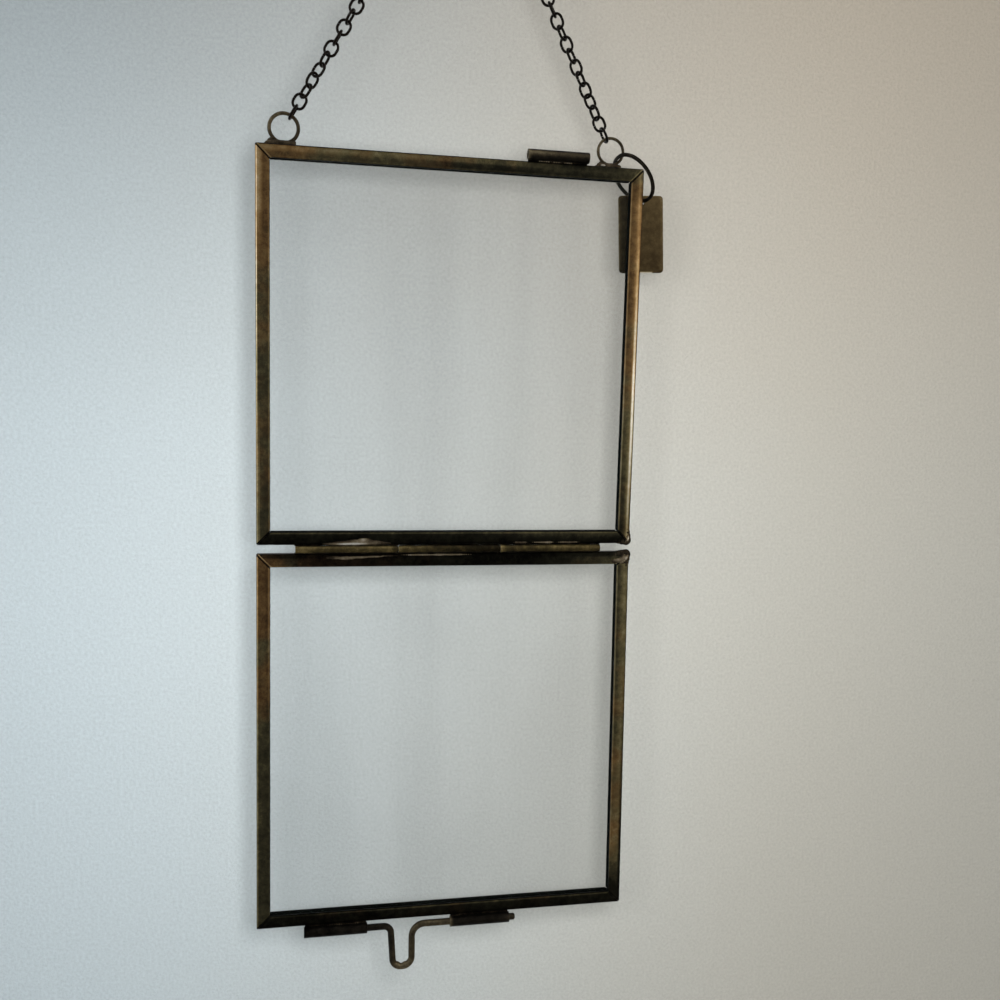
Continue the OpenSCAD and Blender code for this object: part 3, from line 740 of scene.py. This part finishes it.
# Each rail's turn about its panel, its faces, their scale from end to end, the tone of its cut
# edges and how brown it is. Stiles at 90 start at the top, and stiles at -90 at the bottom.
RAILS = {
    "upper_top_rail": (0, [(.12, TOP_LEFT), (.4, TOP_LEFT), (.52, TOP_MIDDLE), (.66, TOP_MIDDLE),
                           (.78, TOP_DARK), (.9, TOP_DARK), (.98, TOP_RIGHT)],
                       [(0, 1), (.2, 1), (.4, .88), (.52, 1), (1, 1)], .56,
                       [(0, .7), (.1, .5), (.3, .45), (.55, .3), (.7, 0), (1, -.1)]),
    "upper_right_stile": (90, [(.1, RIGHT_HIGH), (.33, RIGHT_WARM), (.55, RIGHT_LIT),
                               (.7, RIGHT_LIT), (.86, RIGHT_LOW)],
                          [(0, .84), (.1, .88), (.35, .92), (.6, 1), (.9, 1), (1, .8)], 0,
                          [(0, .4), (.1, .85), (.35, .9), (.55, .5), (.7, .2), (1, .35)]),
    "upper_bottom_rail": (180, [(.2, RIDGED_GREY), (.4, RIDGED)],
                          [(0, 1), (.5, .95), (.9, .9), (1, 1)], 0, [(0, -.2), (.4, .2), (1, 0)]),
    "upper_left_stile": (-90, [(.2, LEFT_LOW), (.42, LEFT_MIDDLE), (.72, LEFT_MIDDLE),
                               (.86, LEFT_HIGH)],
                         [(0, .9), (.2, 1), (.45, .84), (.7, 1), (1, 1)], 0,
                         [(0, .3), (.2, .5), (.45, .4), (.7, .5), (.85, .9), (1, .8)]),
    "lower_top_rail": (0, [(0, LOWER_TOP)],
                       [(0, 1.25), (.06, 1.2), (.11, .5), (.2, .35), (.4, .2), (.72, .15), (.82, .5),
                        (.9, .95), (1, 1.1)], .66, [(0, .7), (.1, .6), (.3, .4), (.8, 0), (1, .3)]),
    "lower_right_stile": (90, [(.4, LOWER_RIGHT_HIGH), (.85, LOWER_RIGHT_LOW)],
                          [(0, 1), (.6, 1), (.86, 1.02), (.9, .7), (.95, .35), (1, .3)], 0,
                          [(0, .1), (.4, .3), (.8, .6), (1, .2)]),
    "lower_bottom_rail": (180, [(0, RIDGED)],
                          [(0, .85), (.3, .85), (.5, .95), (.75, .7), (.9, .42), (1, .45)], 0,
                          [(0, .3), (1, .3)]),
    "lower_left_stile": (-90, [(.2, LOWER_LEFT_LOW), (.5, LOWER_LEFT_LOW), (.85, LOWER_LEFT_HIGH)],
                         [(0, .85), (.2, .95), (.5, 1.05), (1, 1)], 0,
                         [(0, -.2), (.4, 0), (.7, .5), (1, .8)]),
}


def make_rails():
    for seed, (node, (turn, *look)) in enumerate(RAILS.items()):
        if node.startswith("upper"):
            place = UPPER @ Matrix.Translation((0, 0, MID_Z))
        else:
            place = LOWER @ Matrix.Translation((0, 0, -MID_Z))
        piece(rail_mesh(node, *look, 7.3 * seed), node, brass,
              place @ side(turn, HALF))


def corner_drop(bm, tone, seed):
    """Solder wrapped round the outer corner at (HALF, EDGE_Z)."""
    runs = [(0.0, 1.9, 1.0), (1.5, 1.75, 0.72), (2.8, 1.5, 0.36), (3.9, 1.25, 0.03)]
    balls = []
    for depth, thick, proud in ((1.2, 1.0, 0.78), (MID_Y + 0.1, 1.7, 0.5)):
        for along, radius, share in runs:
            inset = radius - proud * share
            reach = 1.9 - proud + along
            radii = (radius, min(radius, thick), radius)
            balls += [((HALF - reach, depth, EDGE_Z + inset), radii),
                      ((HALF - inset, depth, EDGE_Z + reach), radii)]
    add_lump(bm, balls, tone, 0.14, seed, 0.05, FRONT_LIMIT)


def make_corner_solder():
    """The mitre seams, and the drop that wraps the right corner beside the hinge."""

    def at(inward, up, *rest):
        return (HALF - inward, EDGE_Z + up, *rest)

    # Painted highlights on the corner solder
    upper_tone = painted_highlights(.13, at(.55, 2.0, .34, .75, .8), at(.9, 1.2, .4, .35, .5),
                      at(1.7, .6, 1.2, .4, .22))
    crescent = [(.5, 1.5), (.75, 2.1), (1.2, 2.7), (1.75, 3.3), (2.4, 3.8), (3.1, 4.1), (3.9, 4.15)]
    lower_tone = painted_highlights(.14, at(3.6, 2.9, 2.2, .9, .5), at(1.8, 2.0, .9, .8, .34),
                      at(1.1, 2.2, .4, .5, .3),
                      *(at(x, z, .36, .36, .34) for x, z in crescent))
    patch = [at(2.6, 2.6), at(3.9, 3.1), at(5.3, 3.4), at(1.7, 2.0), at(1.2, 2.7), at(2.4, 3.6)]
    for node, place, tone, smear, seed in (
            ("upper_corner_solder", UPPER, upper_tone, [], 3.1),
            ("lower_corner_solder", LOWER @ FLIP, lower_tone, patch, 9.4)):
        bm = bmesh.new()
        add_seams(bm)
        bmesh.ops.translate(bm, verts=bm.verts, vec=(0, 0, MID_Z))
        set_values(bm, "tone", 0.0)
        corner_drop(bm, tone, seed)
        if smear:
            add_lump(bm, [((x, .28, z), (1.4, .22, .9)) for x, z in smear], tone, 0.1, seed, 0.02,
                     FRONT_LIMIT)
        piece(bm_mesh(bm, node), node, solder, place)


def make_glass():
    for node, place in (("upper_glass", UPPER @ Matrix.Translation((0, MID_Y, MID_Z))),
                        ("lower_glass", LOWER @ Matrix.Translation((0, MID_Y, -MID_Z)))):
        bm = bmesh.new()
        bmesh.ops.create_cube(bm, size=1.0)
        wide = PANEL - 2 * (RAIL_WALL + GLASS_GAP)
        bmesh.ops.scale(bm, verts=bm.verts, vec=(wide, GLASS_T, wide))
        bmesh.ops.bevel(bm, geom=bm.edges[:], offset=GLASS_BEVEL, affect="EDGES", segments=2,
                        profile=0.5, material=-1)
        piece(bm_mesh(bm, node, 15), node, glass, place)


def make_hinge():
    tones = {"left": [(0, .52), (.2, .48), (.45, .44), (.9, .46), (1, .4)],
             "middle": [(0, .5), (.15, .46), (.4, .3), (.6, .22), (1, .2)],
             "right": [(0, .24), (.15, .3), (.4, .42), (.75, .46), (1, .44)]}
    rims = {"left": (.72, .2), "middle": (.66, .2), "right": (.7, .4)}
    for hand, seam in (("left", 100), ("middle", -95), ("right", 95)):
        start, length = KNUCKLES[hand]
        node = "hinge_knuckle_" + hand
        place = LOWER if hand == "middle" else UPPER
        mesh = tube_mesh(node, start, length, BARREL_D, BARREL_BORE, seam, tones[hand],
                         rims[hand], BARREL_RIM, BARREL_SPREAD, LIT_SIDE)
        piece(mesh, node, barrel, place)

    def shade_fill(bm, hand, touching=True):
        """Black under a rail's edge as painted shade: solder on the barrel, or a strip just clear of
        another panel's barrel.
        """
        start, length = KNUCKLES[hand]
        add_lump(bm, bead(start + BARREL_FILL_INSET, start + length - BARREL_FILL_INSET,
                          *(BARREL_SHADE_FILL if touching else BARREL_GAP_SHADE), start,
                          blunt=FILL_BLUNT), 0.02, 0.13, start, 0.03)

    bm = bmesh.new()
    shade_fill(bm, "left")
    shade_fill(bm, "right")
    shade_fill(bm, "middle", False)
    mound = [((-39.5, .3, 1.8), (4.0, .2, .5)), ((-35.5, .3, 2.1), (4.6, .22, .8)),
             ((-32.0, .3, 2.35), (4.2, .24, 1.1)), ((-29.2, .3, 2.65), (3.4, .24, 1.35)),
             ((-26.0, .3, 2.2), (3.6, .2, .9)), ((-23.0, .3, 1.95), (3.0, .18, .6))]
    # Painted highlights on the solder mound
    mound_tone = painted_highlights(.12, (-30.6, 2.7, 3.6, 1.1, .44), (-35, 1.85, 6, .6, .5),
                      (-33.6, 1.8, 4.4, .3, .8), (-29.6, 3.35, 1.3, .5, .35),
                      (-25.2, 2.2, 2.6, .8, .24))
    add_lump(bm, mound, mound_tone, 0.11, 2.0, 0.03, FRONT_LIMIT)
    # Beads of solder along the rail's edge, bright as painted highlights
    for start, end, tone in ((22.6, 27.6, .34), (29.4, 37.0, .54), (38.0, 46.2, .42)):
        add_lump(bm, bead(start, end, .26, 2.05, .36, start), tone, 0.09, start, 0.03, FRONT_LIMIT)
    piece(bm_mesh(bm, "upper_hinge_solder"), "upper_hinge_solder", solder, UPPER)
    bm = bmesh.new()
    shade_fill(bm, "middle")
    shade_fill(bm, "left", False)
    shade_fill(bm, "right", False)
    # A bead of solder along the rail's edge, bright as a painted highlight
    add_lump(bm, bead(-16.5, 7.5, .28, 2.05, .34, 8.0), .56, 0.09, 8.0, 0.03, FRONT_LIMIT)
    smear = [((-39.5, .3, 2.9), (3.0, .2, .7)), ((-35.5, .3, 3.1), (3.4, .2, .75)),
             ((-31.0, .3, 2.8), (3.6, .2, .5)), ((-26, .3, 2.6), (3.4, .2, .35)),
             ((-20.5, .3, 2.3), (3.0, .2, .3))]
    # Painted highlights on the solder smear
    smear_tone = painted_highlights(.12, (-36.5, 3.0, 4.0, .8, .46), (-30, 2.75, 4, .45, .42),
                      (-24, 2.45, 3, .35, .4))
    add_lump(bm, smear, smear_tone, 0.1, 6.0, 0.04, FRONT_LIMIT)
    piece(bm_mesh(bm, "lower_hinge_solder"), "lower_hinge_solder", solder, LOWER @ FLIP)


def make_latch_tubes():
    tubes = {"upper_latch_tube": (UPPER, UPPER_TUBE, 1, [(0, .42), (.12, .45), (.3, .45), (.7, .42),
                                                         (1, .34)], (.5, .2)),
             "lower_latch_tube_left": (LOWER, LEFT_TUBE, -1, [(0, .08), (1, .12)], (.03, .15)),
             "lower_latch_tube_right": (LOWER, RIGHT_TUBE, -1, [(0, .08), (.6, .1), (.85, .2),
                                                                (1, .34)], (.46, .3))}
    for node, (place, (start, length), hand, tones, rims) in tubes.items():
        mesh = tube_mesh(node, start, length, TUBE_D, TUBE_BORE, -hand * TUBE_SEAM, tones, rims,
                         TUBE_RIM, TUBE_SPREAD, TUBE_LIT_SIDE)
        piece(mesh, node, fitting,
              place @ Matrix.Translation((0, 0, hand * LATCH_Z)))
    runs = {"upper_latch_solder": (UPPER, [UPPER_TUBE], [(26.6, 44.0, .36), (27.2, 31.8, .62),
                                                         (32.2, 35.4, .52), (36.0, 39.6, .62)]),
            "lower_latch_solder": (LOWER @ FLIP, [LEFT_TUBE, RIGHT_TUBE],
                                   [(-42.5, -28.2, .3), (2.3, 6, .25)])}
    for node, (place, shade_fills, specks) in runs.items():
        bm = bmesh.new()
        # Black solder under the rail's edge, as painted shade
        for start, length in shade_fills:
            add_lump(bm, bead(start + TUBE_FILL_INSET, start + length - TUBE_FILL_INSET,
                              *TUBE_SHADE_FILL, start, blunt=FILL_BLUNT), 0.01, 0.14, start, 0.03)
        # Specks of solder along the rail's edge, bright as painted highlights
        for start, end, tone in specks:
            size = .24 if tone > .4 else .18
            add_lump(bm, bead(start, end, .2, TOP_Z + .1, size, start), tone, 0.1, start, 0.04)
        piece(bm_mesh(bm, node), node, solder, place)


def make_latch_pin():
    """One wire: its tail in the left tube, the thumb loop, and the end in the right tube."""
    low = -HANDLE_DROP
    corners = [(PIN_TAIL, 0, 0), (HANDLE_LEFT - 0.5, 0, 0), (HANDLE_LEFT + 0.45, 0, low),
               (HANDLE_RIGHT, 0, low), (HANDLE_RIGHT, 0, 0), (PIN_TIP, 0, 0)]
    path = dense(fillet_path(corners, LOOP_RADII))
    path.insert(1, path[0] + Vector((WIRE_BEVEL, 0, 0)))
    path.insert(-1, path[-1] - Vector((WIRE_BEVEL, 0, 0)))
    end = 1 - 2 * WIRE_BEVEL / WIRE_D
    bm = wire_bmesh(path, WIRE_D, sizes=[end] + [1.0] * (len(path) - 2) + [end])
    bmesh.ops.remove_doubles(bm, verts=bm.verts, dist=0.0005)
    inner = low + WIRE_D / 2
    middle = (HANDLE_LEFT + HANDLE_RIGHT) / 2
    for vert in bm.verts:
        bend = noise.noise(vert.co * 0.25) * WIRE_BEND
        if low < vert.co.z < inner + NICK_REACH:
            for off, push in NICKS:
                vert.co.z += push * max(0.0, 1 - abs(vert.co.x - middle - off) / NICK_HALF)
        vert.co.y += bend
    surface_tone = [(0, .14), (.31, .14), (.36, .38), (.5, .42), (.8, .4), (.98, .26), (1, .3)]
    set_values(bm, "tone", lambda p: ramp(surface_tone, (p.x - PIN_TAIL) / (PIN_TIP - PIN_TAIL))
               + 0.07 * max(0.0, 1 - abs(p.z - low) / 4))
    piece(bm_mesh(bm, "latch_pin", 50), "latch_pin", fitting,
          LOWER @ Matrix.Translation((0, 0, -LATCH_Z)))


def ring_points(radius, count=72):
    """A ring in the XZ plane that starts and ends at its foot."""
    turns = [2 * math.pi * k / count - math.pi / 2 for k in range(count)]
    return [Vector((radius * math.cos(turn), 0, radius * math.sin(turn))) for turn in turns]


def make_hanging_rings():
    """Wire rings, each standing in a low foot of solder that climbs its sides."""
    feet = {
        "left": [((-5.7, 0, -5.2), (0.8, 0.7, 0.4)), ((-5.1, 0, -4.85), (0.85, 0.8, 0.75)),
                 ((-4.5, 0, -4.3), (0.75, 0.75, 0.95)), ((-4.0, 0, -3.75), (0.6, 0.7, 0.85)),
                 ((-3.0, 0, -4.75), (2.0, 1.1, 1.05)), ((-1.7, 0, -4.8), (2.1, 1.15, 1.1)),
                 ((-0.3, 0, -4.85), (2.1, 1.15, 1.1)), ((1.1, 0, -4.9), (2.1, 1.15, 1.1)),
                 ((2.4, 0, -4.9), (1.6, 1.05, 1.05)), ((3.3, 0, -4.5), (0.65, 0.75, 0.85))],
        "right": [((-4.7, 0, -5.15), (0.7, 0.65, 0.45)), ((-4.0, 0, -4.7), (0.75, 0.7, 0.85)),
                  ((-3.5, 0, -4.1), (0.55, 0.6, 0.8)), ((-2.4, 0, -4.75), (1.8, 1.0, 1.0)),
                  ((-1.1, 0, -4.75), (1.9, 1.0, 1.0)), ((0.3, 0, -4.75), (1.9, 1.0, 1.0)),
                  ((1.7, 0, -4.8), (1.6, 0.95, 0.95)), ((2.9, 0, -4.9), (1.1, 0.85, 0.8))],
    }
    # Each foot carries a small lump of solder whose brighter tone is a painted highlight
    highlight_spots = {"left": ((-4.5, -0.62, -4.5), (1.0, 0.3, 0.4), 0.34),
             "right": ((-2.7, -0.82, -4.85), (0.9, 0.35, 0.3), 0.8)}
    for hand, ring in (("left", LEFT_RING), ("right", RIGHT_RING)):
        place = UPPER @ Matrix.Translation((ring["x"], MID_Y, ring["z"]))
        node = hand + "_hanging_ring"
        bm = wire_bmesh(ring_points(ring["r"]), ring["wire"], True, 5)
        # The ring is lighter toward its upper left: a painted highlight
        set_values(bm, "tone", lambda p: 0.32 + 0.12 * max(0.0, p.z - p.x) / ring["r"])
        piece(bm_mesh(bm, node), node, fitting, place)
        node = hand + "_ring_solder"
        bm = bmesh.new()
        add_lump(bm, feet[hand], 0.24, 0.13, ring["x"], 0.03)
        spot, radii, tone = highlight_spots[hand]
        add_lump(bm, [(spot, radii)], tone, 0.1, ring["x"], 0.05)
        piece(bm_mesh(bm, node), node, solder, place)


def make_tag_ring():
    """A split ring: two turns of flat wire side by side, with their ends overlapping."""
    path = []
    for k in range(TAG_RING_STEPS + 1):
        share = k / TAG_RING_STEPS
        turn = TAG_RING_END + 4 * math.pi * share
        rise = TAG_RING_HALF * max(-1.0, min(1.0, (share - 0.5) / TAG_RING_CROSSING))
        path.append(Vector((TAG_RING_R * math.cos(turn), TAG_RING_R * math.sin(turn), rise)))
    bm = wire_bmesh(path, 2 * TAG_RING_HALF, sides=4)
    for vert in bm.verts:
        away = math.hypot(vert.co.x, vert.co.y)
        size = (TAG_RING_R + (away - TAG_RING_R) * TAG_RING_WIDER) / away
        vert.co.x *= size
        vert.co.y *= size
    set_values(bm, "tone", TAG_RING_TONE)
    place = (UPPER @ Matrix.Translation(TAG_RING_AT) @ Matrix.Rotation(TAG_RING_TURN, 4, "Z")
             @ Matrix.Rotation(TAG_RING_TILT, 4, "Y"))
    piece(bm_mesh(bm, "tag_ring", 50), "tag_ring", fitting, place)


def make_tag():
    """A blank plate with rounded corners, a hole, lighter edges, and a painted highlight along a
    stretch of its lower edge.
    """
    bm = bmesh.new()
    top = TAG_HOLE_D / 2 + TAG_HOLE_EDGE
    wide, low = TAG_W / 2 - TAG_CORNER, top - TAG_H + TAG_CORNER
    high = top - TAG_CORNER
    outline = (arc((wide, high), TAG_CORNER, 0, 90, 6) + arc((-wide, high), TAG_CORNER, 90, 180, 6)
               + arc((-wide, low), TAG_CORNER, 180, 270, 6) + arc((wide, low), TAG_CORNER, 270, 360, 6))
    hole = arc((0, 0), TAG_HOLE_D / 2, 0, 345, 23)
    edges = []
    for loop in (outline, hole):
        verts = [bm.verts.new((x, -TAG_T / 2, z)) for x, z in loop]
        edges += [bm.edges.new((a, b)) for a, b in zip(verts, verts[1:] + verts[:1])]
    bmesh.ops.triangle_fill(bm, use_beauty=True, use_dissolve=False, edges=edges)
    made = bmesh.ops.extrude_face_region(bm, geom=bm.faces[:], use_keep_orig=True)
    back = [v for v in made["geom"] if isinstance(v, bmesh.types.BMVert)]
    bmesh.ops.translate(bm, verts=back, vec=(0, TAG_T, 0))
    bmesh.ops.recalc_face_normals(bm, faces=bm.faces)
    rims = [e for e in bm.edges if e.is_manifold and e.calc_face_angle() > math.radians(60)]
    bmesh.ops.bevel(bm, geom=rims, offset=TAG_BEVEL, affect="EDGES", segments=2, profile=0.5,
                    material=-1)
    bmesh.ops.subdivide_edges(bm, edges=[e for e in bm.edges if e.calc_length() > 5], cuts=5,
                              use_grid_fill=True)
    slice_at(bm, (0, 0, top - TAG_H + TAG_HIGHLIGHT_HEIGHT), (0, 0, 1))
    for x in (TAG_HIGHLIGHT_FROM, TAG_HIGHLIGHT_TO):
        slice_at(bm, (x, 0, 0), (1, 0, 0))
    bmesh.ops.triangulate(bm, faces=[f for f in bm.faces if len(f.verts) > 4])

    def tone(point):
        edge = min(TAG_W / 2 - abs(point.x), top - point.z)
        low_edge = point.z - (top - TAG_H)
        surface_tone = TAG_RIM_TONE * max(0.0, 1 - edge / TAG_RIM)
        # A painted highlight along a stretch of the lower edge
        if TAG_HIGHLIGHT_FROM - 0.01 < point.x < TAG_HIGHLIGHT_TO + 0.01:
            surface_tone = max(surface_tone, TAG_HIGHLIGHT_TONE * max(0.0, 1 - low_edge / TAG_HIGHLIGHT_HEIGHT))
        return TAG_TONE + 0.08 * low_edge / TAG_H + surface_tone

    set_values(bm, "tone", tone)
    pivot = Vector(joints["tag_swing"]["pos_m"])
    place = (Matrix.Translation(pivot) @ Matrix.Rotation(-TAG_LEAN, 4, "Y")
             @ Matrix.Scale(MM, 4) @ Matrix.Translation((0, 0, -TAG_HOLE_DROP)))
    piece(bm_mesh(bm, "tag_plate", 20), "tag_plate", plate, place)


def link_bmesh():
    """One oval link along X with its butt joint in one straight side."""
    path = [Vector((LINK_JOINT, 0, -LINK_BOW))]
    for hand, start in ((1, -90), (-1, 90)):
        bow = arc((hand * LINK_STRAIGHT / 2, 0), LINK_BOW, start, start + 180, LINK_STEPS)
        path += [Vector((x, 0, z)) for x, z in bow]
    path.append(Vector((-LINK_JOINT, 0, -LINK_BOW)))
    return wire_bmesh(path, LINK_WIRE, sides=3)


def make_chain():
    """Legs of links from the rings to the nail's link, each a quarter turn from the last."""
    reach = LINK_STRAIGHT / 2 + LINK_BOW
    top = -hinge / MM
    shape = link_bmesh()
    set_values(shape, "tone", LINK_TONE)
    link = bm_mesh(shape, "link", 60)
    legs = {"chain_left": (LEFT_RING, 28, [0, 3, 38, 46, 54, 70, 88, 92, 88, 80, 86],
                           top.x - LINK_STRAIGHT / 2),
            "chain_right": (RIGHT_RING, 27, [0, 3, 16, 22, 38, 42, 40, 46, 44, 48, 50, 64, 84],
                            top.x + LINK_STRAIGHT / 2)}
    for node, (ring, links, twists, end_x) in legs.items():
        bm = bmesh.new()
        angle = math.atan2(top.z - ring["z"], end_x - ring["x"])
        first = ring["r"] - (ring["wire"] + LINK_WIRE) / 2 - LINK_PLAY + reach
        for k in range(links):
            turn = math.radians(90 * (k + 1) + twists[min(k, len(twists) - 1)])
            count = len(bm.verts)
            bm.from_mesh(link)
            bm.verts.ensure_lookup_table()
            bmesh.ops.transform(bm, verts=bm.verts[count:],
                                matrix=Matrix.Rotation(-angle, 4, "Y")
                                @ Matrix.Translation((first + k * LINK_PITCH, 0, 0))
                                @ Matrix.Rotation(turn, 4, "X"))
        bmesh.ops.translate(bm, verts=bm.verts, vec=(ring["x"], MID_Y, ring["z"]))
        piece(bm_mesh(bm, node, 60), node, bronze, UPPER)
    link.name = "chain_top_link"
    piece(link, "chain_top_link", bronze, Matrix.Scale(MM, 4))


def make_hinge_pin():
    """The CAD pin keeps its shape and takes the fittings' finish."""
    pin = frame["nodes"]["hinge_pin"]
    pin.data.materials.clear()
    pin.data.materials.append(fitting)


def matt_paint(name, high, low, split):
    """A stippled paint whose colours, at left and right, change at the height of the split; on the wall
    they paint in light and shade.
    """
    m = Finish(name)
    cloud = (m.noise(9, 3) - 0.5) * 0.05
    spot = [m.add("SeparateXYZ", None, {0: m.place}, axis) for axis in (0, 2)]
    across = (spot[0] + cloud).step(-0.22, 0.3)
    up = (spot[1] + cloud).step(split - 0.25, split + 0.25)
    base = m.mix(up, m.mix(across, *low), m.mix(across, *high))
    stipple = m.noise(STIPPLE, 4, 0.65)
    base = m.add("Mix", {"data_type": "RGBA", "blend_type": "MULTIPLY"},
                 {0: 1.0, 6: base, 7: stipple * 0.44 + 0.78}, out=2)
    m.set(Base_Color=base, Roughness=0.9, Normal=m.bump(stipple, 0.002, 0.4))
    return m


def make_backdrop():
    """A pale wall well behind the part, seen only from its front, and a pale floor."""
    wall = matt_paint("pale_wall", WALL_HIGH, WALL_LOW, WALL_SPLIT)
    wall.front_only()
    floor = matt_paint("pale_floor", FLOOR_PAINT, FLOOR_PAINT, 0)
    upright = Matrix.Translation((0, WALL_Y, 0)) @ Matrix.Rotation(math.pi / 2, 4, "X")
    for name, paint, place in (("wall", wall, upright),
                               ("floor", floor, Matrix.Translation((0, 0, FLOOR_Z)))):
        bm = bmesh.new()
        bmesh.ops.create_grid(bm, x_segments=1, y_segments=1, size=BACKDROP_REACH)
        bm.transform(place)
        mesh = bpy.data.meshes.new(name)
        bm.to_mesh(mesh)
        bm.free()
        mesh.materials.append(paint.material)
        add_object(name, mesh)


def lamp(name, place, size, watts, colour=WHITE):
    """A rectangular lamp at a place, turned to the middle of the part."""
    data = bpy.data.lights.new(name, "AREA")
    data.shape = "RECTANGLE"
    data.size, data.size_y = size
    data.energy = watts
    data.color = colour
    obj = add_object(name, data)
    obj.location = place
    obj.rotation_euler = (Vector(AIM) - Vector(place)).to_track_quat("-Z", "Y").to_euler()
    return obj


def make_lights():
    for name, setting in SOFTBOXES.items():
        lamp(name, *setting)
    for name, (off, size, watts) in NEAR_LAMPS.items():
        near = lamp(name, CAMERA + Vector(off), size, watts)
        near.visible_glossy = False
        near.visible_camera = False
    world = bpy.data.worlds.new("room")
    world.use_nodes = True
    light = world.node_tree.nodes["Background"]
    light.inputs["Color"].default_value = ROOM_COLOUR
    light.inputs["Strength"].default_value = ROOM_STRENGTH
    bpy.context.scene.world = world


def make_camera():
    """The view that the render takes, with a lens that frames the part as it hangs."""
    data = bpy.data.cameras.new("camera")
    data.sensor_width = SENSOR
    data.lens = LENS
    data.clip_start = 0.01
    obj = add_object("camera", data)
    obj.location = CAMERA
    obj.rotation_euler = [math.radians(a) for a in CAMERA_TURN]
    bpy.context.scene.camera = obj


# Without a seed, noise vectors start from the clock and differ from run to run
noise.seed_set(NOISE_SEED)
workbench = bpy.data.scenes.new("workbench")
make_camera()
make_rails()
make_corner_solder()
make_glass()
make_hinge()
make_hinge_pin()
make_latch_tubes()
make_latch_pin()
make_hanging_rings()
make_tag_ring()
make_tag()
make_chain()
make_backdrop()
make_lights()
bpy.data.scenes.remove(workbench)
bpy.context.scene.view_settings.view_transform = "Standard"
